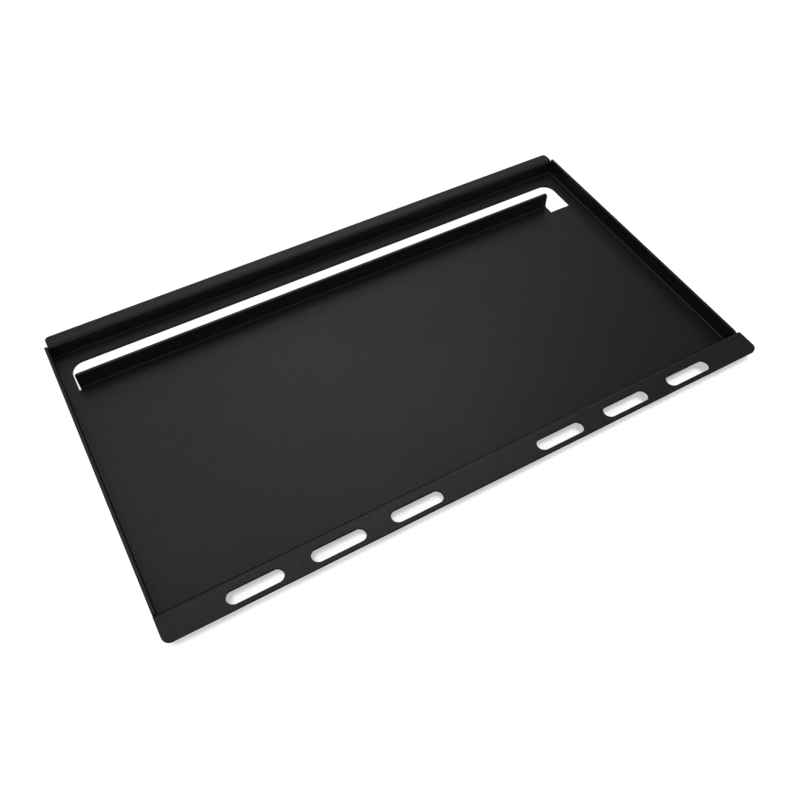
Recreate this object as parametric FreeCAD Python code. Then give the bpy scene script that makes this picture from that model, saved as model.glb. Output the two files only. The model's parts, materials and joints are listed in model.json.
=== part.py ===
"""Flat top griddle: a shallow folded steel tray that drops onto a 30 inch range top.

The frame is in millimetres, with its origin on the tray's underside at the middle of the
overall width and depth. +X runs to the right along the width, +Y to the rear, +Z up.
"""
import FreeCAD, Part
import os
from math import cos, radians, sin

from FreeCAD import Vector

# Stock
SHEET = 3.42                # thickness of 10 gauge steel
BEND_INSIDE = 2.0           # radius inside every fold
BEND_OUTSIDE = BEND_INSIDE + SHEET

# Tray
OVERALL_WIDTH = 749.3       # over the outer faces of the side walls, 29.5 inches
TRAY_DEPTH = 385.6          # from the front rail's riser to the rear rail's riser, inside
WALL_RISE = 20.8            # top of the side walls and of the rear lip, above the cooking surface
WALL_REAR_OVERRUN = 1.7     # how far a side wall runs past the face of the rear riser
WALL_CORNER = 4.5           # rounding of a side wall's upper front corner

# Rails
FRONT_LIP_REACH = 33.9      # from the riser's tray side to the lip's free edge
FRONT_LIP_CORNER = 8.5
REAR_LIP_REACH = 17.2
REAR_LIP_CORNER = 5.5
REAR_SEAM = 0.7             # welded seam between a side wall and the rear riser's end

# Slots in the front lip: equal places across the width, with the middle one left solid
SLOT_LENGTH = 61.4
SLOT_WIDTH = 15.8
SLOT_PITCH = 92.0
SLOT_SETBACK = 12.9         # from the lip's free edge to the slots' centre line
SLOT_PLACES = (-3, -2, -1, 1, 2, 3)

# Flue opening behind the dam, with a drain notch at its right end
FLUE_LEFT_MARGIN = 14.4     # from the left wall's inner face
FLUE_RIGHT_MARGIN = 17.1
FLUE_REAR_MARGIN = 19.7     # from the rear riser's face
FLUE_CORNER = 16.5
SLIT_PAST_FOLD = 1.2        # how far the relief slit at the dam's left end passes the fold line
NOTCH_REACH = 74.5          # from the rear riser's face to the drain notch's front edge

# Grease dam, folded up from the metal of the flue opening
DAM_LEFT_MARGIN = 16.6
DAM_RIGHT_MARGIN = 50.2
DAM_FACE = 60.4             # from the rear riser's face to the dam's front face
DAM_RISE = 22.1
DAM_CORNER = 3.5

# Corner welds
WELD_STOP = 1.0             # how far below the front rail's upper fold a front corner weld stops
WELD_REAR_STOP = 2.2        # how far below the side wall's top a rear corner weld stops

# Planes that follow from the sizes above
INNER_X = OVERALL_WIDTH / 2 - SHEET
OVERALL_DEPTH = TRAY_DEPTH + FRONT_LIP_REACH + REAR_LIP_REACH
REAR_FACE = OVERALL_DEPTH / 2 - REAR_LIP_REACH
FRONT_FACE = REAR_FACE - TRAY_DEPTH
SURFACE = SHEET
FOLD_TOP = SURFACE + BEND_INSIDE
WALL_TOP = SURFACE + WALL_RISE
FRONT_LIP_TOP = WALL_TOP + SHEET
DAM_FOLD_LINE = REAR_FACE - DAM_FACE - BEND_INSIDE


def outline_face(edges):
    """Face inside a closed run of edges."""
    return Part.Face(Part.Wire(edges))


def line(start, end):
    return Part.LineSegment(start, end).toShape()


def arc(start, centre, turn):
    """Arc in the XY plane from start, about centre, through a signed angle in degrees."""
    radius = start - centre

    def turned(angle):
        c, s = cos(radians(angle)), sin(radians(angle))
        return centre + Vector(radius.x * c - radius.y * s, radius.x * s + radius.y * c, 0)

    end = turned(turn)
    return Part.Arc(start, turned(turn / 2), end).toShape(), end


def folded_section(start, heading, steps):
    """Section of a folded sheet, in the XY plane.

    start is on the sheet's right-hand side as seen along heading, in degrees. Each step is
    ("run", length) or ("fold", signed angle), and a positive fold turns to the left.
    """
    def along(angle, length):
        return Vector(length * cos(radians(angle)), length * sin(radians(angle)), 0)

    right, left = Vector(start), start + along(heading + 90, SHEET)
    right_side, left_side = [], []
    cap = line(left, right)
    for kind, amount in steps:
        if kind == "run":
            step = along(heading, amount)
            right_side.append(line(right, right + step))
            left_side.append(line(left, left + step))
            right, left = right + step, left + step
            continue
        to_left = along(heading + 90, BEND_INSIDE)
        centre = left + to_left if amount > 0 else right - to_left
        right_arc, right = arc(right, centre, amount)
        left_arc, left = arc(left, centre, amount)
        right_side.append(right_arc)
        left_side.append(left_arc)
        heading += amount
    return outline_face([cap] + right_side + [line(right, left)] + left_side[::-1])


def along_width(section, x_low, x_high):
    """Solid of a section drawn as (y, z), from x_low to x_high."""
    turned = section.copy()
    turned.Placement = FreeCAD.Placement(Vector(x_low, 0, 0), FreeCAD.Rotation(Vector(1, 1, 1), 120))
    return turned.extrude(Vector(x_high - x_low, 0, 0))


def along_depth(section, y_low, y_high):
    """Solid of a section drawn as (x, z), from y_low to y_high."""
    turned = section.copy()
    turned.Placement = FreeCAD.Placement(Vector(0, y_high, 0), FreeCAD.Rotation(Vector(1, 0, 0), 90))
    return turned.extrude(Vector(0, y_low - y_high, 0))


def block(x_range, y_range, z_range):
    low = Vector(x_range[0], y_range[0], z_range[0])
    size = (x_range[1] - x_range[0], y_range[1] - y_range[0], z_range[1] - z_range[0])
    return Part.makeBox(*size, low)


def round_edges(solid, radius, axis, places):
    """Round the edges that run along axis ("x", "y" or "z") through the given places.

    A place is a dictionary of the coordinates that the edge's middle has.
    """
    picked = []
    for edge in solid.Edges:
        direction = edge.Vertexes[-1].Point - edge.Vertexes[0].Point
        straight = abs(getattr(direction, axis)) > 0.999 * direction.Length > 0
        middle = edge.BoundBox.Center
        for place in places:
            near = all(abs(getattr(middle, key) - value) < 0.01 for key, value in place.items())
            if straight and near:
                picked.append(edge)
    if len(picked) != len(places):
        raise ValueError("expected %d edges, found %d" % (len(places), len(picked)))
    return solid.makeFillet(radius, picked)


def corner_reliefs(y_low, y_high):
    """Cutters that notch a folded flange's ends below the fold's top, at both sides."""
    x_in = INNER_X - BEND_INSIDE
    x_out = OVERALL_WIDTH / 2 + 1
    z_range = (-1, FOLD_TOP)
    return [block(x_range, (y_low, y_high), z_range) for x_range in ((-x_out, -x_in), (x_in, x_out))]


def cooking_deck():
    """Flat plate between the fold lines, with the flue opening, its slit and its drain notch."""
    side = INNER_X - BEND_INSIDE
    plate = block((-side, side), (FRONT_FACE + BEND_INSIDE, REAR_FACE - BEND_INSIDE), (0, SHEET))
    left = -INNER_X + FLUE_LEFT_MARGIN
    right = INNER_X - FLUE_RIGHT_MARGIN
    rear = REAR_FACE - FLUE_REAR_MARGIN
    dam_left = -INNER_X + DAM_LEFT_MARGIN
    dam_right = INNER_X - DAM_RIGHT_MARGIN
    front_points = [
        Vector(left, rear - FLUE_CORNER, 0),
        Vector(left, DAM_FOLD_LINE - SLIT_PAST_FOLD, 0),
        Vector(dam_left, DAM_FOLD_LINE - SLIT_PAST_FOLD, 0),
        Vector(dam_left, DAM_FOLD_LINE, 0),
        Vector(dam_right, DAM_FOLD_LINE, 0),
        Vector(dam_right, REAR_FACE - NOTCH_REACH, 0),
        Vector(right, REAR_FACE - NOTCH_REACH, 0),
        Vector(right, rear - FLUE_CORNER, 0),
    ]
    edges = [line(a, b) for a, b in zip(front_points, front_points[1:])]
    right_arc, right_end = arc(front_points[-1], Vector(right - FLUE_CORNER, rear - FLUE_CORNER, 0), 90)
    left_start = Vector(left + FLUE_CORNER, rear, 0)
    left_arc, _ = arc(left_start, Vector(left + FLUE_CORNER, rear - FLUE_CORNER, 0), 90)
    edges += [right_arc, line(right_end, left_start), left_arc]
    opening = outline_face(edges).extrude(Vector(0, 0, SHEET))
    return plate.cut(opening)


def side_wall(side):
    """Upright flange at one side, with its fold; side is -1 for left and 1 for right."""
    steps = [("fold", 90 * side), ("run", WALL_RISE - BEND_INSIDE)]
    x_start = side * (INNER_X - BEND_INSIDE)
    start = Vector(x_start, 0, 0) if side > 0 else Vector(x_start, SHEET, 0)
    heading = 0 if side > 0 else 180
    y_high = REAR_FACE + WALL_REAR_OVERRUN
    wall = along_depth(folded_section(start, heading, steps), FRONT_FACE, y_high)
    wall = wall.cut(corner_reliefs(FRONT_FACE - 1, FRONT_FACE + BEND_INSIDE))
    wall = wall.cut(corner_reliefs(REAR_FACE - BEND_INSIDE, y_high + 1))
    return round_edges(wall, WALL_CORNER, "x", [{"y": FRONT_FACE, "z": WALL_TOP}])


def rear_rail():
    """Rear riser with a short lip folded to the rear, between the side walls."""
    riser = WALL_RISE - BEND_INSIDE - BEND_OUTSIDE
    steps = [("fold", 90), ("run", riser), ("fold", -90), ("run", REAR_LIP_REACH - BEND_OUTSIDE)]
    section = folded_section(Vector(REAR_FACE - BEND_INSIDE, 0, 0), 0, steps)
    end = INNER_X - REAR_SEAM
    rail = along_width(section, -end, end)
    rail = rail.cut(corner_reliefs(REAR_FACE - BEND_INSIDE - 1, REAR_FACE + SHEET + 1))
    corners = [{"x": x, "y": REAR_FACE + REAR_LIP_REACH} for x in (-end, end)]
    return round_edges(rail, REAR_LIP_CORNER, "z", corners)


def lip_slot(x_centre, y_centre, z_low, z_high):
    """Cutter for one slot with full-round ends, its length along X."""
    half_straight = (SLOT_LENGTH - SLOT_WIDTH) / 2
    half_width = SLOT_WIDTH / 2
    right = Vector(x_centre + half_straight, y_centre, z_low)
    left = Vector(x_centre - half_straight, y_centre, z_low)
    down = Vector(0, -half_width, 0)
    right_arc, right_end = arc(right + down, right, 180)
    left_arc, left_end = arc(left - down, left, 180)
    edges = [right_arc, line(right_end, left - down), left_arc, line(left_end, right + down)]
    return outline_face(edges).extrude(Vector(0, 0, z_high - z_low))


def front_rail():
    """Front riser with a wide slotted lip folded forwards over the full width."""
    riser = FRONT_LIP_TOP - FOLD_TOP - BEND_OUTSIDE
    steps = [("fold", -90), ("run", riser), ("fold", 90), ("run", FRONT_LIP_REACH - BEND_OUTSIDE)]
    section = folded_section(Vector(FRONT_FACE + BEND_INSIDE, SHEET, 0), 180, steps)
    end = OVERALL_WIDTH / 2
    free_edge = FRONT_FACE - FRONT_LIP_REACH
    rail = along_width(section, -end, end)
    rail = rail.cut(corner_reliefs(FRONT_FACE - SHEET - 1, FRONT_FACE + BEND_INSIDE + 1))
    rail = round_edges(rail, FRONT_LIP_CORNER, "z", [{"x": x, "y": free_edge} for x in (-end, end)])
    y_slot = free_edge + SLOT_SETBACK
    slots = [lip_slot(place * SLOT_PITCH, y_slot, WALL_TOP - 1, FRONT_LIP_TOP + 1)
             for place in SLOT_PLACES]
    return rail.cut(slots)


def grease_dam():
    """Low upright tab along the front of the flue opening, with its fold."""
    steps = [("fold", 90), ("run", DAM_RISE - BEND_INSIDE)]
    section = folded_section(Vector(DAM_FOLD_LINE, 0, 0), 0, steps)
    left = -INNER_X + DAM_LEFT_MARGIN
    right = INNER_X - DAM_RIGHT_MARGIN
    dam = along_width(section, left, right)
    corners = [{"x": x, "z": SURFACE + DAM_RISE} for x in (left, right)]
    return round_edges(dam, DAM_CORNER, "y", corners)


def corner_bowl(x_centre, y_centre, x_side, y_side):
    """Quarter bowl of weld metal that closes the relief where two folds meet."""
    centre = Vector(x_centre, y_centre, FOLD_TOP)
    bowl = Part.makeSphere(BEND_OUTSIDE, centre).cut(Part.makeSphere(BEND_INSIDE, centre))
    size = BEND_OUTSIDE + 1
    x_range = sorted((x_centre, x_centre + x_side * size))
    y_range = sorted((y_centre, y_centre + y_side * size))
    return bowl.common(block(x_range, y_range, (FOLD_TOP - size, FOLD_TOP)))


def mirrored(points, x_side, y_side, x_centre, y_centre):
    """Points given from a corner's centre, outwards, as places in the frame."""
    return [Vector(x_centre + x_side * x, y_centre + y_side * y, FOLD_TOP) for x, y in points]


def corner_weld(x_side, y_side):
    """Weld of one corner: a bowl at the bottom and a bead up the inside of the seam.

    A rear corner's bead also fills the seam and rounds over outside it.
    """
    x_centre = x_side * (INNER_X - BEND_INSIDE)
    y_centre = (REAR_FACE if y_side > 0 else FRONT_FACE) - y_side * BEND_INSIDE
    r = BEND_INSIDE
    hollow = (r * cos(radians(45)), r * sin(radians(45)))
    if y_side > 0:
        seam = r - REAR_SEAM
        step = r + WALL_REAR_OVERRUN
        bead = SHEET - WALL_REAR_OVERRUN
        crown = (seam + bead * cos(radians(45)), step + bead * sin(radians(45)))
        points = [(r, 0), hollow, (0, r), (seam, r), (seam, r + SHEET), crown, (seam + bead, step), (r, step)]
        p = mirrored(points, x_side, y_side, x_centre, y_centre)
        edges = [
            Part.Arc(p[0], p[1], p[2]).toShape(),
            line(p[2], p[3]),
            line(p[3], p[4]),
            Part.Arc(p[4], p[5], p[6]).toShape(),
            line(p[6], p[7]),
            line(p[7], p[0]),
        ]
        top = WALL_TOP - WELD_REAR_STOP
    else:
        p = mirrored([(r, 0), hollow, (0, r), (r, r)], x_side, y_side, x_centre, y_centre)
        edges = [Part.Arc(p[0], p[1], p[2]).toShape(), line(p[2], p[3]), line(p[3], p[0])]
        top = FRONT_LIP_TOP - BEND_OUTSIDE - WELD_STOP
    column = outline_face(edges).extrude(Vector(0, 0, top - FOLD_TOP))
    return corner_bowl(x_centre, y_centre, x_side, y_side).fuse(column).removeSplitter()


def main():
    pieces = {
        "cooking_deck": cooking_deck(),
        "left_side_wall": side_wall(-1),
        "right_side_wall": side_wall(1),
        "rear_rail": rear_rail(),
        "front_rail": front_rail(),
        "grease_dam": grease_dam(),
        "weld_rear_left": corner_weld(-1, 1),
        "weld_rear_right": corner_weld(1, 1),
        "weld_front_left": corner_weld(-1, -1),
        "weld_front_right": corner_weld(1, -1),
    }
    os.makedirs("parts", exist_ok=True)
    for node, shape in pieces.items():
        if not shape.isValid() or len(shape.Solids) != 1:
            raise ValueError("%s is not one valid solid" % node)
        shape.Solids[0].exportStep("parts/%s.step" % node)
        box = shape.BoundBox
        print("%-17s %9.1f mm3  x %8.2f %8.2f  y %8.2f %8.2f  z %6.2f %6.2f" % (
            node, shape.Volume, box.XMin, box.XMax, box.YMin, box.YMax, box.ZMin, box.ZMax))


main()
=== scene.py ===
"""Flat top griddle: the finished looks of a folded steel plate that lies on a range top.

Every piece is built around the packed frame, in its metres, with the deck's underside at z = 0,
+X to the right along the width and +Y to the rear. The folded members are modelled as a press
brake leaves them, with rounded free edges, and carry a satin black high-heat coat.
"""

import json
import math

import bmesh
import bpy
from bpy.props import FloatProperty, FloatVectorProperty, IntProperty, PointerProperty
from mathutils import Euler, Matrix, Vector


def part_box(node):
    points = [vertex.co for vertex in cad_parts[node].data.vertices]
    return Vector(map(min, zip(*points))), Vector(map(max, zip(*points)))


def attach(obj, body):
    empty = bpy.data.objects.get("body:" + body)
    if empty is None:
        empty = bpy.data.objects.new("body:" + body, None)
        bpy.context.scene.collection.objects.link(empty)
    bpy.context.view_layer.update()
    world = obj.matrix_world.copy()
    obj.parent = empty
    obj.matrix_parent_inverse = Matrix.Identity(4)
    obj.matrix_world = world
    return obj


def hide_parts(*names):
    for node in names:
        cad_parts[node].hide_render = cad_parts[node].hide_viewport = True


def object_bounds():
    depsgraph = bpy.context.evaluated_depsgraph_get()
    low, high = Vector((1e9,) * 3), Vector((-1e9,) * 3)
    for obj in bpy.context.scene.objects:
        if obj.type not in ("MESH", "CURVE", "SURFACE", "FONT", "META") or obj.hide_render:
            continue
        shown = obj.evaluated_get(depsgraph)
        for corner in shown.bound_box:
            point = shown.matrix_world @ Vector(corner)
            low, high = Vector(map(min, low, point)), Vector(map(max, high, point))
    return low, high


bl_info = {
    "name": "Flat top griddle",
    "version": (1, 0, 0),
    "blender": (4, 5, 0),
    "location": "View3D > Sidebar > Griddle",
    "description": "Builds a folded steel griddle plate with its coat, and a studio stage for it",
    "category": "Object",
}

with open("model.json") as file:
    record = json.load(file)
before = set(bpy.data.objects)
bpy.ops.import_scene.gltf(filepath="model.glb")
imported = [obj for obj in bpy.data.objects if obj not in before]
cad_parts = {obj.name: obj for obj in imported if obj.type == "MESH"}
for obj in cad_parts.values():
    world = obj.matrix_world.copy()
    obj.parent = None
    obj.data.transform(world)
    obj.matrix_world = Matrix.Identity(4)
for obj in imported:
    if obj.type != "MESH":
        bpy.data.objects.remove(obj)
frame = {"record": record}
CAD_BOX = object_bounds()

# Planes of the folded sheet, read from the frame
DECK_LOW, DECK_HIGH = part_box("cooking_deck")
WALL_LOW, WALL_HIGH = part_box("right_side_wall")
FRONT_LOW, FRONT_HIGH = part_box("front_rail")
REAR_LOW, REAR_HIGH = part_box("rear_rail")
DAM_LOW, DAM_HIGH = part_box("grease_dam")

SHEET = DECK_HIGH.z - DECK_LOW.z
FOLD_INSIDE = WALL_HIGH.x - WALL_LOW.x - SHEET
FOLD_OUTSIDE = FOLD_INSIDE + SHEET
SURFACE = DECK_HIGH.z
FOLD_TOP = SURFACE + FOLD_INSIDE
INNER_X = WALL_HIGH.x - SHEET
WALL_FOLD_LINE = INNER_X - FOLD_INSIDE
FRONT_FACE = DECK_LOW.y - FOLD_INSIDE
REAR_FACE = DECK_HIGH.y + FOLD_INSIDE
DAM_FOLD_LINE = DAM_LOW.y

SLOT_BOXES = [o["box_m"] for o in frame["record"]["physics"]["openings"] if "lip_slot" in o["name"]]

MM = 0.001
CLEAR = 1 * MM              # how far a cutter stands past what it cuts
TOUCH = 0.02 * MM           # places closer than this are the same
MERGE = 0.002 * MM          # corners closer than this become one
SHARP = math.radians(35)    # a larger angle between two faces is an edge
FLAT = math.radians(1)      # a smaller angle between two faces is none
FACING = 0.9                # cosine above which a face looks along a direction
ALONG = 0.99                # cosine above which an edge runs along an axis
SQUARE = 0.01               # cosine below which an edge is square to a direction

# Corner welds
WELD_SINK = 0.3 * MM        # how far a weld's parts lie inside each other or the sheet
SEAM_SINK = 0.2 * MM        # how far a filled seam starts before the rear riser's face
BEAD_OUT = 0.15 * MM        # the outside bead's middle, past the rear rail's end
BEAD_BACK = 0.1 * MM        # the outside bead's middle, past the wall's rear end
RIPPLE_FLATTENING = 0.62    # a ripple's height as a share of its width
RIPPLE_LEAN = 0.5           # lean of a ripple, in radians
RIPPLE_VARIATION = 0.05     # share by which the ripples differ in size
RIPPLE_PHASE = 2.4          # step of that variation from one ripple to the next
SMOOTHING_ROUNDS = 3        # times that a weld's skin is smoothed

# The coat
GRAIN_HEIGHT = 0.18         # height of the powder grain as a share of the orange peel's
PEEL_DEPTH = 0.03 * MM      # height of the orange peel with its grain
SCRATCH_DEPTH = 0.02 * MM   # depth of a scratch
SCRATCH_STRENGTH = 0.25     # how strongly a scratch shows
NARROW_FACE = 0.62          # a face narrower than this share of a rounding's radius lies on it
HOLLOW_RISE = (0.1, 0.995)  # range of a normal's z in the hollow of a fold
PATCH_TONE = (0.94, 1.06)   # darkest and palest tone of the wiped patches
PATCH_GLOSS = 0.012         # roughness that a wiped patch takes away, or a bare one adds
SCRATCH_GLOSS = 0.10        # roughness that a scratch takes away
THIN_GLOSS = 0.06           # roughness that a thin coat takes away
GRAIN_DULLNESS = 0.12       # range of roughness over the powder grain
FOLD_DULLNESS = 0.45        # roughness that the dry powder in a fold adds

# Studio light: glows of the room as (azimuth, elevation, tightness, strength), in degrees,
# and soft boxes as (name, place, watts)
SKY_GLOWS = (
    (22.5, 33, 14, 0.10),
    (67.5, 33, 14, 0.82),
    (202.5, 33, 14, 0.89),
    (247.5, 33, 14, 1.05),
    (337.5, 33, 14, 0.79),
    (180, 60, 14, 0.71),
)
LOW_GLOW = 0.15             # strength of the light from below the horizon
BACKDROP_GLOW = 1.05        # strength of the plain white that shows past the floor
SOFT_BOXES = (
    ("softbox_left", (-0.4, 0.8, 1.5), 1.9),
    ("softbox_right", (0.4, 0.8, 1.5), 2.6),
    ("softbox_front", (0.4, -0.8, 1.5), 2.3),
)
SOFT_BOX_SIZE = 0.9         # side of a square soft box, in metres
FLOOR_LAMP_PLACE = (-1.8, -2.3, 8.0)
FLOOR_LAMP_SIZE = 1.8       # across the round soft box over the floor, in metres
FLOOR_GAP = 0.05 * MM       # how far the floor lies under the griddle
SENSOR_WIDTH = 36           # width of the camera's sensor, in millimetres


# ---------------------------------------- settings

class GriddleSheetSettings(bpy.types.PropertyGroup):
    """Sizes of the folded sheet's details"""
    edge_rounding: FloatProperty(
        name="Edge rounding", description="Radius of the deburred and coated free edges",
        default=0.3 * MM, min=0.1 * MM, max=1.2 * MM, unit="LENGTH", subtype="DISTANCE")
    edge_steps: IntProperty(
        name="Edge steps", description="Faces across a rounded free edge", default=3, min=1, max=8)
    fold_steps: IntProperty(
        name="Fold steps", description="Faces across a fold", default=18, min=4, max=48)
    corner_steps: IntProperty(
        name="Corner steps", description="Faces round a cut corner", default=14, min=3, max=48)
    wall_corner: FloatProperty(
        name="Wall corner", description="Rounding of a side wall's upper front corner",
        default=4.5 * MM, unit="LENGTH", subtype="DISTANCE")
    front_lip_corner: FloatProperty(
        name="Front lip corner", description="Rounding of the front lip's free corners",
        default=8.5 * MM, unit="LENGTH", subtype="DISTANCE")
    rear_lip_corner: FloatProperty(
        name="Rear lip corner", description="Rounding of the rear lip's free corners",
        default=5.5 * MM, unit="LENGTH", subtype="DISTANCE")
    dam_corner: FloatProperty(
        name="Dam corner", description="Rounding of the grease dam's upper corners",
        default=3.5 * MM, unit="LENGTH", subtype="DISTANCE")
    slot_length: FloatProperty(
        name="Slot length", description="End-to-end length of a slot in the front lip",
        default=61.4 * MM, unit="LENGTH", subtype="DISTANCE")
    slot_width: FloatProperty(
        name="Slot width", description="Width of a slot in the front lip, with full-round ends",
        default=15.8 * MM, unit="LENGTH", subtype="DISTANCE")


class GriddleFlueSettings(bpy.types.PropertyGroup):
    """Sizes of the flue opening behind the dam"""
    left_margin: FloatProperty(
        name="Left margin", description="From the left wall's inner face to the opening",
        default=14.4 * MM, unit="LENGTH", subtype="DISTANCE")
    right_margin: FloatProperty(
        name="Right margin", description="From the right wall's inner face to the opening",
        default=17.1 * MM, unit="LENGTH", subtype="DISTANCE")
    rear_margin: FloatProperty(
        name="Rear margin", description="From the rear riser's face to the opening",
        default=19.7 * MM, unit="LENGTH", subtype="DISTANCE")
    corner: FloatProperty(
        name="Corner", description="Radius of the opening's rear corners",
        default=16.5 * MM, unit="LENGTH", subtype="DISTANCE")
    slit_past_fold: FloatProperty(
        name="Slit", description="How far the relief slit at the dam's left end passes the fold line",
        default=1.2 * MM, unit="LENGTH", subtype="DISTANCE")
    notch_reach: FloatProperty(
        name="Notch reach", description="From the rear riser's face to the drain notch's front edge",
        default=74.5 * MM, unit="LENGTH", subtype="DISTANCE")


class GriddleWeldSettings(bpy.types.PropertyGroup):
    """Sizes of the corner welds"""
    ripple_pitch: FloatProperty(
        name="Ripple pitch", description="Distance between two ripples of the outside bead",
        default=1.3 * MM, min=0.5 * MM, max=4 * MM, unit="LENGTH", subtype="DISTANCE")
    ripple_radius: FloatProperty(
        name="Ripple radius", description="Half the width of the outside bead",
        default=1.75 * MM, min=0.5 * MM, max=3 * MM, unit="LENGTH", subtype="DISTANCE")
    skin_grid: FloatProperty(
        name="Skin grid", description="Grid size of the weld's closed skin",
        default=0.16 * MM, min=0.05 * MM, max=1 * MM, unit="LENGTH", subtype="DISTANCE")


class GriddleCoatSettings(bpy.types.PropertyGroup):
    """Colours and texture of the high-heat coat"""
    colour: FloatVectorProperty(
        name="Coat", description="Colour of the satin black coat",
        subtype="COLOR", size=3, min=0, max=1, default=(0.0050, 0.0050, 0.0052))
    worn_colour: FloatVectorProperty(
        name="Thin coat", description="Colour where the coat is thin over a free edge",
        subtype="COLOR", size=3, min=0, max=1, default=(0.012, 0.012, 0.0123))
    dust_colour: FloatVectorProperty(
        name="Dust", description="Colour of the few specks of dust",
        subtype="COLOR", size=3, min=0, max=1, default=(0.09, 0.088, 0.085))
    roughness: FloatProperty(
        name="Roughness", description="Mean roughness of the coat",
        default=0.46, min=0.05, max=1, subtype="FACTOR")
    peel_size: FloatProperty(
        name="Peel size", description="Distance between two swells of the coat's orange peel",
        default=2.4 * MM, min=0.2 * MM, max=20 * MM, unit="LENGTH", subtype="DISTANCE")
    grain_size: FloatProperty(
        name="Grain size", description="Size of the coat's fine powder grain",
        default=0.55 * MM, min=0.05 * MM, max=5 * MM, unit="LENGTH", subtype="DISTANCE")


class GriddleStageSettings(bpy.types.PropertyGroup):
    """Floor, camera and lamps"""
    floor_colour: FloatVectorProperty(
        name="Floor", description="Colour of the plain floor",
        subtype="COLOR", size=3, min=0, max=1, default=(0.92, 0.92, 0.92))
    floor_glow: FloatProperty(
        name="Floor glow", description="Light that the backlit floor gives off by itself",
        default=0.43, min=0, max=2)
    floor_lamp_power: FloatProperty(
        name="Floor lamp", description="Watts of the soft box that lights only the floor",
        default=335.0, min=0)
    floor_size: FloatProperty(
        name="Floor size", description="Side of the square floor",
        default=30.0, min=2, unit="LENGTH", subtype="DISTANCE")
    camera_place: FloatVectorProperty(
        name="Camera place", description="Place of the camera in the part's frame",
        subtype="TRANSLATION", unit="LENGTH", size=3, default=(-0.3267, -0.5746, 0.7946))
    camera_heading: FloatProperty(
        name="Camera heading", description="Turn of the view from +Y towards +X",
        default=math.radians(29.884), unit="ROTATION", subtype="ANGLE")
    camera_tilt: FloatProperty(
        name="Camera tilt", description="How far the view points below the horizon",
        default=math.radians(53.128), unit="ROTATION", subtype="ANGLE")
    camera_roll: FloatProperty(
        name="Camera roll", description="Roll of the camera about its view",
        default=math.radians(0.635), unit="ROTATION", subtype="ANGLE")
    camera_lens: FloatProperty(
        name="Lens", description="Focal length for a 36 mm sensor, in millimetres",
        default=37.67, min=10, max=200)


# ---------------------------------------- modelling helpers

def deselect_all():
    """Leave every mode and selection."""
    if bpy.context.object is not None and bpy.context.object.mode != "OBJECT":
        bpy.ops.object.mode_set(mode="OBJECT")
    bpy.ops.object.select_all(action="DESELECT")


def work_on(piece):
    """Make piece the only selected object, and the active one."""
    deselect_all()
    piece.select_set(True)
    bpy.context.view_layer.objects.active = piece


def settle(piece, name):
    """Name a new primitive and put its place, turn and size into its mesh."""
    work_on(piece)
    bpy.ops.object.transform_apply(location=True, rotation=True, scale=True)
    piece.name = name
    piece.data.name = name
    return piece


def add_block(name, low, high):
    """A plain block between two corners, to be shaped or to cut with."""
    low, high = Vector(low), Vector(high)
    deselect_all()
    bpy.ops.mesh.primitive_cube_add(size=1, location=(low + high) / 2, scale=high - low)
    return settle(bpy.context.object, name)


def edit(piece, kind):
    """Enter edit mode on piece with nothing selected, picking vertices, edges or faces."""
    work_on(piece)
    bpy.ops.object.mode_set(mode="EDIT")
    bpy.ops.mesh.select_mode(type=kind)
    bpy.ops.mesh.select_all(action="DESELECT")


def pick_faces(piece, test):
    """Select the faces whose centre and normal pass the test."""
    edit(piece, "FACE")
    mesh = bmesh.from_edit_mesh(piece.data)
    picked = [f for f in mesh.faces if test(f.calc_center_median(), f.normal)]
    for face in picked:
        face.select_set(True)
    bmesh.update_edit_mesh(piece.data)
    if not picked:
        raise RuntimeError(piece.name + ": no face is at the place that was asked for")


def pick_edges(piece, count, test):
    """Select the edges whose middle and direction pass the test; there have to be count of them."""
    edit(piece, "EDGE")
    mesh = bmesh.from_edit_mesh(piece.data)
    picked = []
    for edge in mesh.edges:
        a, b = edge.verts[0].co, edge.verts[1].co
        if test((a + b) / 2, (b - a).normalized()):
            picked.append(edge)
    for edge in picked:
        edge.select_set(True)
    bmesh.update_edit_mesh(piece.data)
    if len(picked) != count:
        raise RuntimeError("%s: %d edges picked in place of %d" % (piece.name, len(picked), count))


def near(a, b):
    """Are two measures the same?"""
    return abs(a - b) < TOUCH


def extrude(offset):
    """Draw the selected faces out by an offset."""
    bpy.ops.mesh.extrude_region_move(TRANSFORM_OT_translate={"value": offset})


def split(piece, point, normal):
    """Cut new edges into the mesh along a plane."""
    edit(piece, "FACE")
    bpy.ops.mesh.select_all(action="SELECT")
    bpy.ops.mesh.bisect(plane_co=point, plane_no=normal)


def round_picked(radius, steps):
    """Round the selected edges."""
    bpy.ops.mesh.bevel(offset_type="OFFSET", offset=radius, segments=steps, profile=0.5,
                       affect="EDGES", clamp_overlap=False)


def tidy_mesh(piece):
    """Merge doubles, drop empty faces and leave edit mode."""
    edit(piece, "VERT")
    bpy.ops.mesh.select_all(action="SELECT")
    bpy.ops.mesh.remove_doubles(threshold=MERGE)
    bpy.ops.mesh.dissolve_degenerate(threshold=MERGE)
    bpy.ops.object.mode_set(mode="OBJECT")


def apply_modifier(piece, kind, **values):
    """Give a piece a modifier with these values and apply it."""
    work_on(piece)
    modifier = piece.modifiers.new(kind.lower(), kind)
    for key, value in values.items():
        setattr(modifier, key, value)
    bpy.ops.object.modifier_apply(modifier=modifier.name)


def joined(pieces):
    """One object made of several."""
    deselect_all()
    for piece in pieces:
        piece.select_set(True)
    bpy.context.view_layer.objects.active = pieces[0]
    bpy.ops.object.join()
    return pieces[0]


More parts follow.
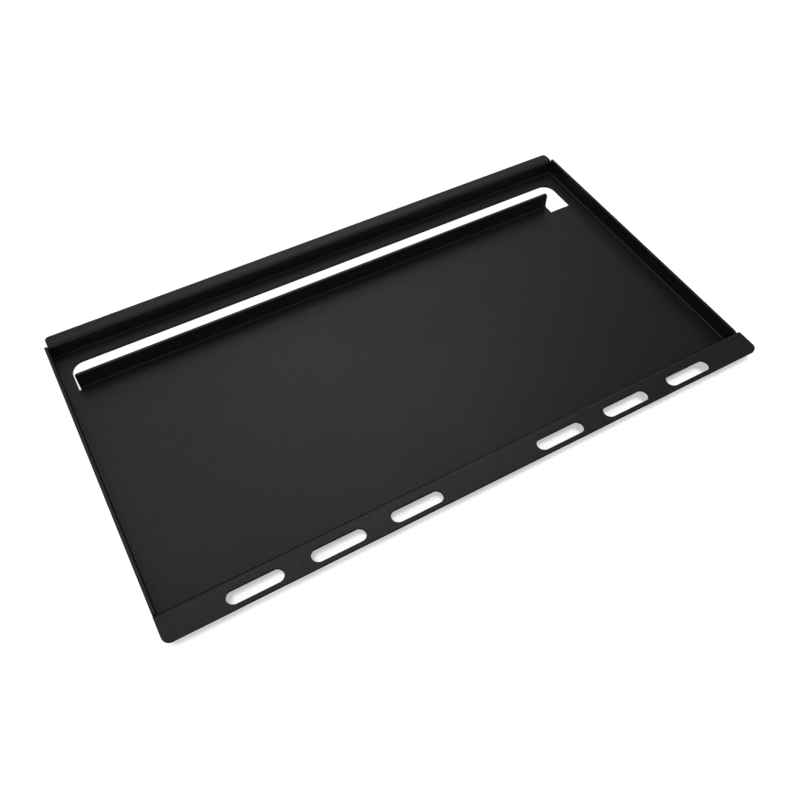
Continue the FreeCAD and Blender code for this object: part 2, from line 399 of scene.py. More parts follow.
def cut(piece, cutter, operation="DIFFERENCE"):
    """Take the cutter's shape out of the piece, or keep only what it holds; the cutter goes."""
    apply_modifier(piece, "BOOLEAN", operation=operation, solver="EXACT", object=cutter)
    work_on(cutter)
    bpy.ops.object.delete()
    tidy_mesh(piece)


def folded_flange(name, out, fold_line, span, top):
    """A flange folded up from the deck, with square folds for now.

    out is the unit vector that crosses the fold line, fold_line is how far along it the line is,
    and span holds the flange's two ends along the line.
    """
    along = Vector((abs(out.y), abs(out.x), 0))
    points = [out * across + along * end + Vector((0, 0, z))
              for across in (fold_line, fold_line + FOLD_OUTSIDE)
              for end in span
              for z in (0, SHEET)]
    low = Vector([min(p[i] for p in points) for i in range(3)])
    high = Vector([max(p[i] for p in points) for i in range(3)])
    flange = add_block(name, low, high)
    inner = fold_line + FOLD_INSIDE
    split(flange, out * inner, out)
    pick_faces(flange, lambda c, n: n.z > FACING and c.dot(out) > inner)
    extrude((0, 0, top - SURFACE))
    return flange


def lip_over(rail, out, fold_line, reach, lip_top):
    """Carry a rail's riser up by one sheet, and out into a lip with its free edge at reach."""
    lip_bottom = lip_top - SHEET
    outer = fold_line + FOLD_OUTSIDE
    pick_faces(rail, lambda c, n: n.z > FACING and near(c.z, lip_bottom))
    extrude((0, 0, SHEET))

    def on_outer_rim(centre, normal):
        outwards = normal.dot(out) > FACING and near(centre.dot(out), outer)
        return outwards and centre.z > lip_bottom
    pick_faces(rail, on_outer_rim)
    extrude(out * (reach - outer))


def round_folds(piece, out, inside, outside, steps):
    """Round square folds into bends; each fold is (distance along out, height)."""
    edit(piece, "FACE")
    bpy.ops.mesh.select_all(action="SELECT")
    bpy.ops.mesh.dissolve_limited(angle_limit=FLAT)
    for folds, radius in ((inside, FOLD_INSIDE), (outside, FOLD_OUTSIDE)):
        def on_fold(middle, direction):
            along_fold = abs(direction.z) < SQUARE and abs(direction.dot(out)) < SQUARE
            places = [near(middle.dot(out), across) and near(middle.z, z) for across, z in folds]
            return along_fold and any(places)
        pick_edges(piece, len(folds), on_fold)
        round_picked(radius, steps)
    tidy_mesh(piece)


def round_cut_corners(piece, axis, places, radius, steps):
    """Round the straight edges that run along an axis through places, {axis number: value}."""
    def on_corner(middle, direction):
        if abs(direction[axis]) < ALONG:
            return False
        return any(all(near(middle[i], value) for i, value in place.items()) for place in places)
    pick_edges(piece, len(places), on_corner)
    round_picked(radius, steps)
    tidy_mesh(piece)


def corner_relief_cutters(y_low, y_high):
    """Blocks that notch a flange's two ends below the fold's top."""
    x_out = WALL_HIGH.x + CLEAR
    width = x_out - WALL_FOLD_LINE
    blocks = [add_block("relief", (x, y_low, -CLEAR), (x + width, y_high, FOLD_TOP))
              for x in (-x_out, WALL_FOLD_LINE)]
    return joined(blocks)


def round_free_edges(piece, sheet, is_seam):
    """Round the sharp edges that aren't in a seam, and smooth the shading."""
    work_on(piece)
    mesh = bmesh.new()
    mesh.from_mesh(piece.data)
    weight = mesh.edges.layers.float.new("bevel_weight_edge")
    for edge in mesh.edges:
        ends = [v.co for v in edge.verts]
        sharp = len(edge.link_faces) == 2 and edge.calc_face_angle() > SHARP
        edge[weight] = 1.0 if sharp and not is_seam(*ends) else 0.0
    mesh.to_mesh(piece.data)
    mesh.free()
    apply_modifier(piece, "BEVEL", width=sheet.edge_rounding, segments=sheet.edge_steps,
                   limit_method="WEIGHT", use_clamp_overlap=False, miter_outer="MITER_SHARP")
    work_on(piece)
    bpy.ops.object.shade_smooth_by_angle(angle=SHARP)
    apply_modifier(piece, "WEIGHTED_NORMAL", mode="FACE_AREA", weight=50, keep_sharp=True)


def same_plane(axis, value):
    """A test for edges that lie in the plane where coordinate number axis is value."""
    return lambda a, b: near(a[axis], value) and near(b[axis], value)


def in_relief(a, b):
    """Is an edge part of a corner relief, which a weld fills?"""
    low = max(a.z, b.z) < FOLD_TOP + TOUCH
    side = min(abs(a.x), abs(b.x)) > WALL_FOLD_LINE - TOUCH
    rear = min(a.y, b.y) > REAR_FACE - FOLD_INSIDE - TOUCH
    front = max(a.y, b.y) < FRONT_FACE + FOLD_INSIDE + TOUCH
    return low and side and (rear or front)


def any_of(*tests):
    """A test that an edge passes when it passes any of these."""
    return lambda a, b: any(test(a, b) for test in tests)


def put_in_place(piece, node, material):
    """Give a finished piece its coat and its body, and hide the frame node that it stands for."""
    piece.data.materials.clear()
    piece.data.materials.append(material)
    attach(piece, "root")
    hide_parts(node)
    deselect_all()


# ---------------------------------------- shader node groups

def new_group(name, inputs, outputs):
    """A shader node group with named float or vector sockets."""
    group = bpy.data.node_groups.new(name, "ShaderNodeTree")
    kinds = {"VALUE": "NodeSocketFloat", "VECTOR": "NodeSocketVector"}
    for label, kind, default in inputs:
        socket = group.interface.new_socket(name=label, in_out="INPUT", socket_type=kinds[kind])
        if default is not None:
            socket.default_value = default
    for label, kind in outputs:
        group.interface.new_socket(name=label, in_out="OUTPUT", socket_type=kinds[kind])
    return group, group.nodes.new("NodeGroupInput"), group.nodes.new("NodeGroupOutput")


class Tree:
    """Short ways to add nodes to a tree and link them."""

    def __init__(self, tree):
        self.tree = tree

    def link(self, output, socket):
        """Link an output to an input socket."""
        self.tree.links.new(output, socket)

    def add(self, kind, inputs=None, **values):
        """A new node; an input is a number or colour, or an output to link to it."""
        node = self.tree.nodes.new(kind)
        for key, value in values.items():
            setattr(node, key, value)
        for key, value in (inputs or {}).items():
            if isinstance(value, bpy.types.NodeSocket):
                self.link(value, node.inputs[key])
            else:
                node.inputs[key].default_value = value
        return node

    def math(self, operation, *numbers, clamp=False):
        """The result of an operation on one to three numbers."""
        inputs = dict(enumerate(numbers))
        return self.add("ShaderNodeMath", inputs, operation=operation, use_clamp=clamp).outputs[0]

    def noise(self, vector, scale, detail, roughness):
        """Smooth noise from 0 to 1."""
        inputs = {"Vector": vector, "Scale": scale, "Detail": detail, "Roughness": roughness}
        return self.add("ShaderNodeTexNoise", inputs).outputs["Fac"]

    def ramp(self, value, low, high, to_low=0.0, to_high=1.0):
        """A soft step from to_low to to_high, as value goes from low to high."""
        inputs = {"Value": value, "From Min": low, "From Max": high,
                  "To Min": to_low, "To Max": to_high}
        node = self.add("ShaderNodeMapRange", inputs, interpolation_type="SMOOTHSTEP")
        return node.outputs["Result"]

    def mix(self, factor, a, b, **values):
        """A colour between two colours."""
        inputs = {"Factor": factor, "A": a, "B": b}
        return self.add("ShaderNodeMix", inputs, data_type="RGBA", **values).outputs["Result"]


def powder_grain_group():
    """Height of a powder coat: broad orange peel with a fine grain on it."""
    group, given, out = new_group(
        "powder_grain",
        [("Vector", "VECTOR", None),
         ("Peel Size", "VALUE", 2.4 * MM),
         ("Grain Size", "VALUE", 0.5 * MM)],
        [("Height", "VALUE"), ("Grain", "VALUE")])
    t = Tree(group)
    peel_scale = t.math("DIVIDE", 1.0, given.outputs["Peel Size"])
    grain_scale = t.math("DIVIDE", 1.0, given.outputs["Grain Size"])
    peel = t.noise(given.outputs["Vector"], peel_scale, 1.0, 0.4)
    grain = t.noise(given.outputs["Vector"], grain_scale, 2.0, 0.6)
    t.link(t.math("MULTIPLY_ADD", grain, GRAIN_HEIGHT, peel), out.inputs["Height"])
    t.link(grain, out.inputs["Grain"])
    return group


def handling_marks_group():
    """Faint wiped patches and hair-fine scratches, as masks from 0 to 1."""
    group, given, out = new_group(
        "handling_marks",
        [("Vector", "VECTOR", None),
         ("Patch Size", "VALUE", 0.16),
         ("Scratch Size", "VALUE", 0.03)],
        [("Patches", "VALUE"), ("Scratches", "VALUE")])
    turn = (0, 0, 0.42)             # heading of the scratches, in radians
    stretch = (0.16, 3.2, 1.0)      # makes the noise long one way and narrow the other
    hair = 0.006                    # half the width of a scratch in the noise's value
    area_scale = 14.0               # about how many scratched areas there are to a metre
    t = Tree(group)
    vector = given.outputs["Vector"]
    patch_scale = t.math("DIVIDE", 1.0, given.outputs["Patch Size"])
    patches = t.ramp(t.noise(vector, patch_scale, 4.0, 0.55), 0.35, 0.65)
    bent = t.add("ShaderNodeMapping", {"Vector": vector, "Rotation": turn, "Scale": stretch})
    scratch_scale = t.math("DIVIDE", 1.0, given.outputs["Scratch Size"])
    lines = t.noise(bent.outputs["Vector"], scratch_scale, 5.0, 0.62)
    ridge = t.math("ABSOLUTE", t.math("SUBTRACT", lines, 0.5))
    thin = t.ramp(ridge, 0.0, hair, 1.0, 0.0)
    areas = t.ramp(t.noise(vector, area_scale, 2.0, 0.5), 0.56, 0.68)
    t.link(patches, out.inputs["Patches"])
    t.link(t.math("MULTIPLY", thin, areas), out.inputs["Scratches"])
    return group


def dust_specks_group():
    """A few specks of dust, as a mask from 0 to 1."""
    group, given, out = new_group(
        "dust_specks",
        [("Vector", "VECTOR", None), ("Spacing", "VALUE", 0.02), ("Speck Size", "VALUE", 0.02)],
        [("Specks", "VALUE")])
    bare_share = 0.72       # share of the places that have no speck
    t = Tree(group)
    scale = t.math("DIVIDE", 1.0, given.outputs["Spacing"])
    cells = t.add("ShaderNodeTexVoronoi", {"Vector": given.outputs["Vector"], "Scale": scale})
    near_point = t.math("LESS_THAN", cells.outputs["Distance"], given.outputs["Speck Size"])
    lot = t.add("ShaderNodeSeparateColor", {0: cells.outputs["Color"]}).outputs[0]
    some = t.math("GREATER_THAN", lot, bare_share)
    t.link(t.math("MULTIPLY", near_point, some), out.inputs["Specks"])
    return group


def coat_material(name, coat, groups, peel_strength, lumpiness):
    """Satin black high-heat coat: grain, wiped patches, fine scratches, thin edges and dust."""
    material = bpy.data.materials.new(name)
    material.use_nodes = True
    material.diffuse_color = (*coat.colour, 1)
    t = Tree(material.node_tree)
    shader = material.node_tree.nodes["Principled BSDF"]
    place = t.add("ShaderNodeTexCoord").outputs["Object"]
    grain, marks, dust = [t.add("ShaderNodeGroup", node_tree=group) for group in groups]
    for node in (grain, marks, dust):
        t.link(place, node.inputs["Vector"])
    grain.inputs["Peel Size"].default_value = coat.peel_size * lumpiness
    grain.inputs["Grain Size"].default_value = coat.grain_size
    patches, scratches = marks.outputs["Patches"], marks.outputs["Scratches"]

    thin_edge = t.add("ShaderNodeAttribute", attribute_name="free_edge").outputs["Fac"]
    thin_scale = 260.0      # about how many thin places there are to a metre of edge
    thin = t.math("MULTIPLY", thin_edge, t.ramp(t.noise(place, thin_scale, 3.0, 0.6), 0.35, 0.7))
    dry_fold = t.add("ShaderNodeAttribute", attribute_name="dry_fold").outputs["Fac"]

    shade = t.ramp(patches, 0.0, 1.0, *PATCH_TONE)
    tone = t.mix(1.0, (*coat.colour, 1), shade, blend_type="MULTIPLY")
    edged = t.mix(thin, tone, (*coat.worn_colour, 1))
    dusty = t.mix(dust.outputs["Specks"], edged, (*coat.dust_colour, 1))
    t.link(dusty, shader.inputs["Base Color"])

    rough = t.ramp(patches, 0.0, 1.0, coat.roughness + PATCH_GLOSS, coat.roughness - PATCH_GLOSS)
    rough = t.math("SUBTRACT", rough, t.math("MULTIPLY", scratches, SCRATCH_GLOSS))
    uneven = t.math("SUBTRACT", grain.outputs["Grain"], 0.5)
    rough = t.math("ADD", rough, t.math("MULTIPLY", uneven, GRAIN_DULLNESS))
    rough = t.math("ADD", rough, t.math("MULTIPLY", dry_fold, FOLD_DULLNESS))
    rough = t.math("SUBTRACT", rough, t.math("MULTIPLY", thin, THIN_GLOSS), clamp=True)
    t.link(rough, shader.inputs["Roughness"])

    bump = t.add("ShaderNodeBump", {"Strength": peel_strength, "Distance": PEEL_DEPTH,
                                    "Height": grain.outputs["Height"]})
    scratched = t.add("ShaderNodeBump", {"Strength": SCRATCH_STRENGTH, "Distance": SCRATCH_DEPTH,
                                         "Height": scratches,
                                         "Normal": bump.outputs["Normal"]}, invert=True)
    t.link(scratched.outputs["Normal"], shader.inputs["Normal"])
    shader.inputs["IOR"].default_value = 1.5


def coats():
    """The two coated finishes, made the first time that they are asked for."""
    if "satin_black_coat" not in bpy.data.materials:
        coat = bpy.context.scene.griddle_coat
        groups = powder_grain_group(), handling_marks_group(), dust_specks_group()
        coat_material("satin_black_coat", coat, groups, peel_strength=0.55, lumpiness=1.0)
        coat_material("coated_weld_metal", coat, groups, peel_strength=0.8, lumpiness=0.6)
    return bpy.data.materials["satin_black_coat"], bpy.data.materials["coated_weld_metal"]


def mark_points(piece, name, values):
    """Give a piece a point attribute that its coat reads."""
    attribute = piece.data.attributes.new(name, "FLOAT", "POINT")
    attribute.data.foreach_set("value", values)


def mark_thin_coat(piece, rounding):
    """Attribute free_edge: 1 on the small faces of rounded free edges, else 0."""
    values = [0.0] * len(piece.data.vertices)
    for face in piece.data.polygons:
        corners = [piece.data.vertices[i].co for i in face.vertices]
        sides = [(a - b).length for a, b in zip(corners, corners[1:] + corners[:1])]
        if min(sides) < rounding * NARROW_FACE:
            for i in face.vertices:
                values[i] = 1.0
    mark_points(piece, "free_edge", values)


def mark_dry_fold(piece):
    """Attribute dry_fold: 1 in the hollow of the fold at the deck, where powder settles matt."""
    values = []
    for vertex in piece.data.vertices:
        in_fold = SURFACE - TOUCH < vertex.co.z < FOLD_TOP + TOUCH
        hollow = HOLLOW_RISE[0] < vertex.normal.z < HOLLOW_RISE[1]
        values.append(1.0 if in_fold and hollow else 0.0)
    mark_points(piece, "dry_fold", values)


def finish_member(piece, node, sheet, is_seam, has_dry_fold=False):
    """Round a sheet member's free edges, mark how its coat varies, and put it in place."""
    round_free_edges(piece, sheet, is_seam)
    mark_thin_coat(piece, sheet.edge_rounding)
    if has_dry_fold:
        mark_dry_fold(piece)
    put_in_place(piece, node, coats()[0])


def lipped_rail(name, side, low, high, radius, sheet):
    """A riser folded up from the deck's rear (side 1) or front (side -1), with its lip.

    low and high are the corners of the rail's box, and radius rounds the lip's free corners.
    """
    out = Vector((0, side, 0))
    deck_end, free_end = (DECK_HIGH.y, high.y) if side > 0 else (DECK_LOW.y, low.y)
    fold_line = side * deck_end
    inner, outer = fold_line + FOLD_INSIDE, fold_line + FOLD_OUTSIDE
    rail = folded_flange(name, out, fold_line, (low.x, high.x), high.z - SHEET)
    lip_over(rail, out, fold_line, side * free_end, high.z)
    inside = [(inner, SURFACE), (outer, high.z - SHEET)]
    round_folds(rail, out, inside, [(outer, 0), (inner, high.z)], sheet.fold_steps)
    corners = [{0: x, 1: free_end} for x in (low.x, high.x)]
    round_cut_corners(rail, 2, corners, radius, sheet.corner_steps)
    cut(rail, corner_relief_cutters(*sorted((deck_end - side * CLEAR, free_end))))
    return rail


# ---------------------------------------- pieces

class GRIDDLE_OT_cooking_deck(bpy.types.Operator):
    """Build the flat cooking plate with its flue opening, relief slit and drain notch"""
    bl_idname = "griddle.cooking_deck"
    bl_label = "Cooking deck"

    def execute(self, context):
        sheet, flue = context.scene.griddle_sheet, context.scene.griddle_flue
        left, right = -INNER_X + flue.left_margin, INNER_X - flue.right_margin
        rear = REAR_FACE - flue.rear_margin
        z_low, z_high = -CLEAR, SURFACE + CLEAR

        opening = add_block("flue_cutter", (left, DAM_FOLD_LINE, z_low), (right, rear, z_high))
        corners = [{0: left, 1: rear}, {0: right, 1: rear}]
        round_cut_corners(opening, 2, corners, flue.corner, sheet.corner_steps)
        split(opening, (DAM_LOW.x, 0, 0), (1, 0, 0))
        split(opening, (DAM_HIGH.x, 0, 0), (1, 0, 0))
        pick_faces(opening, lambda c, n: n.y < -FACING and c.x < DAM_LOW.x)
        extrude((0, -flue.slit_past_fold, 0))
        pick_faces(opening, lambda c, n: n.y < -FACING and c.x > DAM_HIGH.x)
        extrude((0, REAR_FACE - flue.notch_reach - DAM_FOLD_LINE, 0))

        deck = add_block("deck_plate", DECK_LOW, DECK_HIGH)
        cut(deck, opening)

        def on_dam_fold(a, b):
            return same_plane(1, DAM_FOLD_LINE)(a, b) and min(a.x, b.x) > DAM_LOW.x - TOUCH
        seams = any_of(same_plane(0, DECK_LOW.x), same_plane(0, DECK_HIGH.x),
                       same_plane(1, DECK_LOW.y), same_plane(1, DECK_HIGH.y), on_dam_fold)
        finish_member(deck, "cooking_deck", sheet, seams)
        return {"FINISHED"}


class GRIDDLE_OT_side_walls(bpy.types.Operator):
    """Build the two upright side walls with their folds"""
    bl_idname = "griddle.side_walls"
    bl_label = "Side walls"

    def execute(self, context):
        sheet = context.scene.griddle_sheet
        span = WALL_LOW.y, WALL_HIGH.y
        inner, outer = WALL_FOLD_LINE + FOLD_INSIDE, WALL_FOLD_LINE + FOLD_OUTSIDE
        top_front = [{1: WALL_LOW.y, 2: WALL_HIGH.z}]
        for side, node in ((-1, "left_side_wall"), (1, "right_side_wall")):
            out = Vector((side, 0, 0))
            wall = folded_flange(node + "_flange", out, WALL_FOLD_LINE, span, WALL_HIGH.z)
            round_folds(wall, out, [(inner, SURFACE)], [(outer, 0)], sheet.fold_steps)
            round_cut_corners(wall, 0, top_front, sheet.wall_corner, sheet.corner_steps)
            cut(wall, corner_relief_cutters(WALL_LOW.y - CLEAR, DECK_LOW.y))
            cut(wall, corner_relief_cutters(DECK_HIGH.y, WALL_HIGH.y + CLEAR))
            seams = any_of(same_plane(0, side * WALL_FOLD_LINE), in_relief)
            finish_member(wall, node, sheet, seams)
        return {"FINISHED"}


class GRIDDLE_OT_rear_rail(bpy.types.Operator):
    """Build the rear riser and the short lip folded to the rear"""
    bl_idname = "griddle.rear_rail"
    bl_label = "Rear rail"

    def execute(self, context):
        sheet = context.scene.griddle_sheet
        rail = lipped_rail("rear_rail_flange", 1, REAR_LOW, REAR_HIGH, sheet.rear_lip_corner, sheet)
        seams = any_of(same_plane(1, DECK_HIGH.y), in_relief)
        finish_member(rail, "rear_rail", sheet, seams, has_dry_fold=True)
        return {"FINISHED"}


class GRIDDLE_OT_front_rail(bpy.types.Operator):
    """Build the front riser and the wide slotted lip folded forwards"""
    bl_idname = "griddle.front_rail"
    bl_label = "Front rail"

    def execute(self, context):
        sheet = context.scene.griddle_sheet
        rail = lipped_rail("front_rail_flange", -1, FRONT_LOW, FRONT_HIGH, sheet.front_lip_corner,
                           sheet)
        cut(rail, self.slot_cutters(sheet, FRONT_HIGH.z))
        seams = any_of(same_plane(1, DECK_LOW.y), in_relief)
        finish_member(rail, "front_rail", sheet, seams, has_dry_fold=True)
        return {"FINISHED"}

    def slot_cutters(self, sheet, top):
        """A cutter with full-round ends, modelled at the first slot and copied to the others."""
        half = Vector((sheet.slot_length / 2, sheet.slot_width / 2, 0))
        end_radius = half.y - TOUCH / 4     # a little less, so that an end's two corners don't meet
        centres = [(Vector(low) + Vector(high)) / 2 for low, high in SLOT_BOXES]
        first = Vector((centres[0].x, centres[0].y, 0))
        bottom, lid = Vector((0, 0, top - SHEET - CLEAR)), Vector((0, 0, top + CLEAR))
        cutter = add_block("slot_cutter", first - half + bottom, first + half + lid)
        ends = [{0: first.x + a * half.x, 1: first.y + b * half.y}
                for a in (-1, 1)
                for b in (-1, 1)]
        round_cut_corners(cutter, 2, ends, end_radius, sheet.corner_steps)
        cutters = [cutter]
        for centre in centres[1:]:
            copy = cutter.copy()
            copy.data = cutter.data.copy()
            copy.location = (centre.x - first.x, centre.y - first.y, 0)
            bpy.context.collection.objects.link(copy)
            cutters.append(settle(copy, "slot_cutter"))
        return joined(cutters)


class GRIDDLE_OT_grease_dam(bpy.types.Operator):
    """Build the grease dam, a tab folded up along the flue opening"""
    bl_idname = "griddle.grease_dam"
    bl_label = "Grease dam"

    def execute(self, context):
        sheet = context.scene.griddle_sheet
        out = Vector((0, 1, 0))
        span = DAM_LOW.x, DAM_HIGH.x
        inner, outer = DAM_FOLD_LINE + FOLD_INSIDE, DAM_FOLD_LINE + FOLD_OUTSIDE
        dam = folded_flange("grease_dam_tab", out, DAM_FOLD_LINE, span, DAM_HIGH.z)
        round_folds(dam, out, [(inner, SURFACE)], [(outer, 0)], sheet.fold_steps)
        corners = [{0: x, 2: DAM_HIGH.z} for x in span]
        round_cut_corners(dam, 1, corners, sheet.dam_corner, sheet.corner_steps)
        seam = same_plane(1, DAM_FOLD_LINE)
        finish_member(dam, "grease_dam", sheet, seam, has_dry_fold=True)
        return {"FINISHED"}


class GRIDDLE_OT_corner_welds(bpy.types.Operator):
    """Build the corner welds: a bowl below, a fillet inside, and ripples outside at the rear"""
    bl_idname = "griddle.corner_welds"
    bl_label = "Corner welds"

    def execute(self, context):
        for y_side, row in ((1, "rear"), (-1, "front")):
            for x_side, end in ((-1, "left"), (1, "right")):
                node = "weld_%s_%s" % (row, end)
                weld = self.one_weld(context, node, x_side, y_side)
                put_in_place(weld, node, coats()[1])
        return {"FINISHED"}

    def one_weld(self, context, node, x_side, y_side):
        """One corner's weld, joined under one closed skin."""
        settings = context.scene.griddle_weld
        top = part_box(node)[1].z
        deck_end = DECK_HIGH.y if y_side > 0 else DECK_LOW.y
        centre = Vector((x_side * WALL_FOLD_LINE, deck_end, FOLD_TOP))
        parts = [self.bowl(centre, x_side, y_side), self.fillet(centre, x_side, y_side, top)]
        if y_side > 0:
            parts += self.seam_and_ripples(x_side, top, settings)
        weld = joined(parts)
        weld.name = weld.data.name = node + "_bead"
        apply_modifier(weld, "REMESH", mode="VOXEL", voxel_size=settings.skin_grid,
                       use_smooth_shade=True)
        apply_modifier(weld, "SMOOTH", factor=0.5, iterations=SMOOTHING_ROUNDS)
        mark_points(weld, "free_edge", [0.0] * len(weld.data.vertices))
        return weld

    def bowl(self, centre, x_side, y_side):
        """Quarter bowl that closes the relief between two folds."""
        balls = []
        for radius in (FOLD_OUTSIDE, FOLD_INSIDE):
            deselect_all()
            bpy.ops.mesh.primitive_uv_sphere_add(segments=64, ring_count=32, radius=radius,
                                                 location=centre)
            balls.append(settle(bpy.context.object, "weld_ball"))
        cut(balls[0], balls[1])
        size = FOLD_OUTSIDE + CLEAR
        far = centre + Vector((x_side * size, y_side * size, -size))
        low = [min(a, b) for a, b in zip(centre, far)]
        high = [max(a, b) for a, b in zip(centre, far)]
        cut(balls[0], add_block("weld_quarter", low, high), "INTERSECT")
        return balls[0]

    def fillet(self, centre, x_side, y_side, top):
        """Concave fillet up the inside of the corner."""
        corner = centre + Vector((x_side * FOLD_INSIDE, y_side * FOLD_INSIDE, 0))
        low = Vector((min(centre.x, corner.x), min(centre.y, corner.y), FOLD_TOP - WELD_SINK))
        high = Vector((max(centre.x, corner.x), max(centre.y, corner.y), top))
        block = add_block("weld_fillet", low, high)
        middle = (centre.x, centre.y, FOLD_TOP + top / 2 - CLEAR)
        deselect_all()
        bpy.ops.mesh.primitive_cylinder_add(vertices=96, radius=FOLD_INSIDE, depth=top,
                                            location=middle)
        cut(block, settle(bpy.context.object, "weld_hollow"))
        return block

    def seam_and_ripples(self, x_side, top, settings):
        """Filled seam between a wall and the rear riser, and the ripples laid over its outside."""
        seam_x = x_side * INNER_X, x_side * REAR_HIGH.x
        low = Vector((min(seam_x), REAR_FACE - SEAM_SINK, FOLD_TOP - WELD_SINK))
        high = Vector((max(seam_x), REAR_FACE + SHEET - WELD_SINK, top))
        parts = [add_block("weld_seam", low, high)]
        foot = Vector((x_side * (REAR_HIGH.x + BEAD_OUT), WALL_HIGH.y + BEAD_BACK, FOLD_TOP))
        for i in range(int((top - FOLD_TOP) / settings.ripple_pitch)):
            variation = 1 + RIPPLE_VARIATION * math.sin(RIPPLE_PHASE * i)
            deselect_all()
            bpy.ops.mesh.primitive_uv_sphere_add(
                segments=32, ring_count=16, radius=settings.ripple_radius * variation,
                scale=(1, 1, RIPPLE_FLATTENING),
                location=foot + Vector((0, 0, (i + 0.5) * settings.ripple_pitch)),
                rotation=(-RIPPLE_LEAN, x_side * RIPPLE_LEAN, 0))
            parts.append(settle(bpy.context.object, "weld_ripple"))
        return parts


# ---------------------------------------- stage

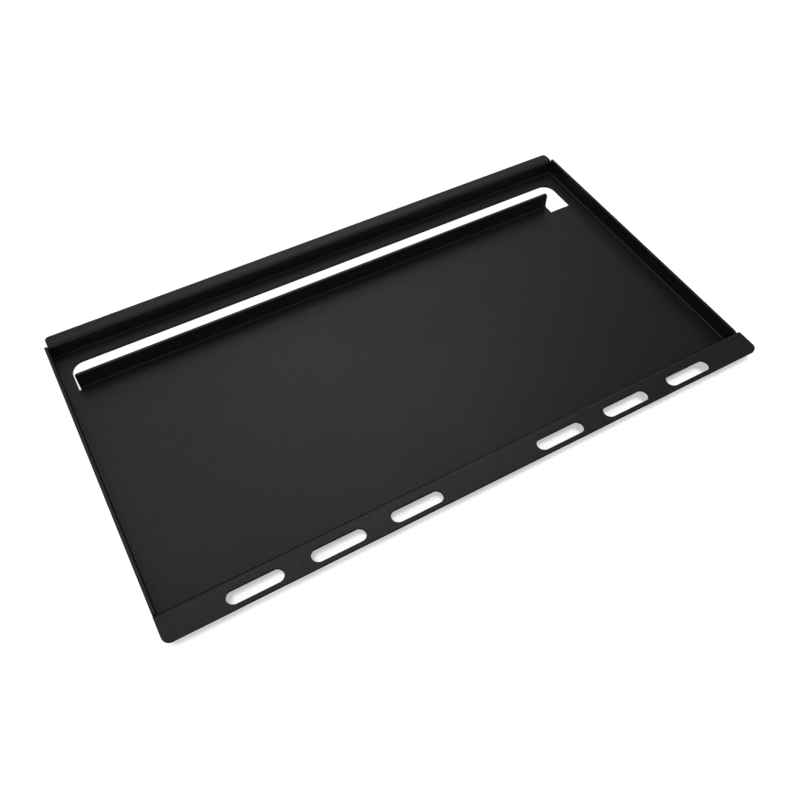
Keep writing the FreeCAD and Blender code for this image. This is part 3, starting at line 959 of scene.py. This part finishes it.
class GRIDDLE_OT_stage(bpy.types.Operator):
    """Build the pale floor, the soft studio light and the camera"""
    bl_idname = "griddle.stage"
    bl_label = "Studio stage"

    def execute(self, context):
        stage = context.scene.griddle_stage
        floor = self.floor(stage)
        self.sky()
        self.lamps(floor)
        self.floor_lamp(floor, stage)
        self.camera(context, stage)
        context.scene.view_settings.view_transform = "Standard"
        return {"FINISHED"}

    def floor(self, stage):
        """A pale plane just under the griddle, clear from below so that the underside shows."""
        deselect_all()
        bpy.ops.mesh.primitive_plane_add(size=stage.floor_size,
                                         location=(0, 0, CAD_BOX[0].z - FLOOR_GAP))
        floor = settle(bpy.context.object, "studio_floor")
        material = bpy.data.materials.new("studio_floor")
        material.use_nodes = True
        shader = material.node_tree.nodes["Principled BSDF"]
        shader.inputs["Base Color"].default_value = (*stage.floor_colour, 1)
        shader.inputs["Roughness"].default_value = 1.0
        shader.inputs["Specular IOR Level"].default_value = 0.0
        shader.inputs["Emission Color"].default_value = (1, 1, 1, 1)
        shader.inputs["Emission Strength"].default_value = stage.floor_glow
        t = Tree(material.node_tree)
        below = t.add("ShaderNodeNewGeometry").outputs["Backfacing"]
        clear = t.add("ShaderNodeBsdfTransparent").outputs[0]
        one_sided = t.add("ShaderNodeMixShader", {0: below, 1: shader.outputs[0], 2: clear})
        surface = material.node_tree.nodes["Material Output"].inputs["Surface"]
        t.link(one_sided.outputs[0], surface)
        floor.data.materials.append(material)
        floor.visible_diffuse = floor.visible_glossy = False
        return floor

    def sky(self):
        """A pale room with broad soft glows, plain white where the camera looks past the floor."""
        world = bpy.data.worlds.new("studio_room")
        world.use_nodes = True
        bpy.context.scene.world = world
        t = Tree(world.node_tree)
        direction = t.add("ShaderNodeTexCoord").outputs["Generated"]
        height = t.add("ShaderNodeSeparateXYZ", {0: direction}).outputs["Z"]
        total = t.math("MULTIPLY", t.math("LESS_THAN", height, 0.0), LOW_GLOW)
        for azimuth, elevation, tightness, strength in SKY_GLOWS:
            turn, rise = math.radians(azimuth), math.radians(elevation)
            across = math.cos(rise)
            centre = (math.cos(turn) * across, math.sin(turn) * across, math.sin(rise))
            facing = t.add("ShaderNodeVectorMath", {0: direction, 1: centre},
                           operation="DOT_PRODUCT").outputs["Value"]
            glow = t.math("POWER", t.math("MAXIMUM", facing, 0.0), tightness)
            total = t.math("ADD", t.math("MULTIPLY", glow, strength), total)
        room = t.add("ShaderNodeBackground", {"Color": (1, 1, 1, 1), "Strength": total})
        seen = world.node_tree.nodes["Background"]
        seen.inputs["Color"].default_value = (1, 1, 1, 1)
        seen.inputs["Strength"].default_value = BACKDROP_GLOW
        is_camera = t.add("ShaderNodeLightPath").outputs["Is Camera Ray"]
        mix = t.add("ShaderNodeMixShader", {0: is_camera, 1: room.outputs[0], 2: seen.outputs[0]})
        t.link(mix.outputs[0], world.node_tree.nodes["World Output"].inputs["Surface"])

    def lamps(self, floor):
        """Soft boxes above the griddle and turned to it, which leave the floor alone."""
        for name, place, energy in SOFT_BOXES:
            lamp = self.soft_box(name, place, SOFT_BOX_SIZE, energy)
            self.link_light(lamp, floor, "EXCLUDE")

    def floor_lamp(self, floor, stage):
        """A soft box above the front that lights only the floor, so that the griddle shades it."""
        lamp = self.soft_box("floor_softbox", FLOOR_LAMP_PLACE, FLOOR_LAMP_SIZE,
                             stage.floor_lamp_power)
        lamp.data.shape = "DISK"
        self.link_light(lamp, floor, "INCLUDE")

    def link_light(self, lamp, floor, state):
        """Let a lamp light only the floor, or all but the floor."""
        linked = bpy.data.collections.new(lamp.name + "_lights")
        linked.objects.link(floor)
        linked.collection_objects[0].light_linking.link_state = state
        lamp.light_linking.receiver_collection = linked

    def soft_box(self, name, place, size, energy):
        """A square area lamp turned to the frame's origin, which the camera doesn't see."""
        deselect_all()
        bpy.ops.object.light_add(type="AREA", location=place)
        lamp = bpy.context.object
        lamp.name = lamp.data.name = name
        lamp.data.shape = "SQUARE"
        lamp.data.size = size
        lamp.data.energy = energy
        lamp.rotation_euler = (-Vector(place)).to_track_quat("-Z", "Y").to_euler()
        lamp.visible_camera = False
        return lamp

    def camera(self, context, stage):
        """The view of the griddle from above its front left corner."""
        deselect_all()
        bpy.ops.object.camera_add(location=stage.camera_place)
        camera = bpy.context.object
        camera.name = camera.data.name = "studio_camera"
        aim = Euler((math.pi / 2 - stage.camera_tilt, 0, -stage.camera_heading), "XYZ").to_matrix()
        camera.rotation_euler = (aim @ Matrix.Rotation(stage.camera_roll, 3, "Z")).to_euler()
        camera.data.sensor_width = SENSOR_WIDTH
        camera.data.lens = stage.camera_lens
        camera.data.clip_start, camera.data.clip_end = 0.02, 100
        context.scene.camera = camera


# ---------------------------------------- panel and registration

OPERATORS = (
    GRIDDLE_OT_cooking_deck,
    GRIDDLE_OT_side_walls,
    GRIDDLE_OT_rear_rail,
    GRIDDLE_OT_front_rail,
    GRIDDLE_OT_grease_dam,
    GRIDDLE_OT_corner_welds,
    GRIDDLE_OT_stage,
)

SETTINGS = {
    "griddle_sheet": GriddleSheetSettings,
    "griddle_flue": GriddleFlueSettings,
    "griddle_weld": GriddleWeldSettings,
    "griddle_coat": GriddleCoatSettings,
    "griddle_stage": GriddleStageSettings,
}


class GRIDDLE_PT_panel(bpy.types.Panel):
    """Settings and build buttons of the griddle"""
    bl_idname = "GRIDDLE_PT_panel"
    bl_label = "Flat top griddle"
    bl_space_type = "VIEW_3D"
    bl_region_type = "UI"
    bl_category = "Griddle"

    def draw(self, context):
        for name, group in SETTINGS.items():
            box = self.layout.box()
            settings = getattr(context.scene, name)
            box.label(text=group.__doc__)
            for key in group.__annotations__:
                box.prop(settings, key)
        for operator in OPERATORS:
            self.layout.operator(operator.bl_idname)


def register():
    """Register the settings, the operators and the panel."""
    for group in SETTINGS.values():
        bpy.utils.register_class(group)
    for name, group in SETTINGS.items():
        setattr(bpy.types.Scene, name, PointerProperty(type=group))
    for operator in OPERATORS:
        bpy.utils.register_class(operator)
    bpy.utils.register_class(GRIDDLE_PT_panel)


def unregister():
    """Undo register."""
    bpy.utils.unregister_class(GRIDDLE_PT_panel)
    for operator in reversed(OPERATORS):
        bpy.utils.unregister_class(operator)
    for name in SETTINGS:
        delattr(bpy.types.Scene, name)
    for group in reversed(list(SETTINGS.values())):
        bpy.utils.unregister_class(group)


def main():
    """Build the griddle and its stage."""
    register()
    bpy.ops.griddle.cooking_deck()
    bpy.ops.griddle.side_walls()
    bpy.ops.griddle.rear_rail()
    bpy.ops.griddle.front_rail()
    bpy.ops.griddle.grease_dam()
    bpy.ops.griddle.corner_welds()
    bpy.ops.griddle.stage()


if __name__ == "__main__":
    main()
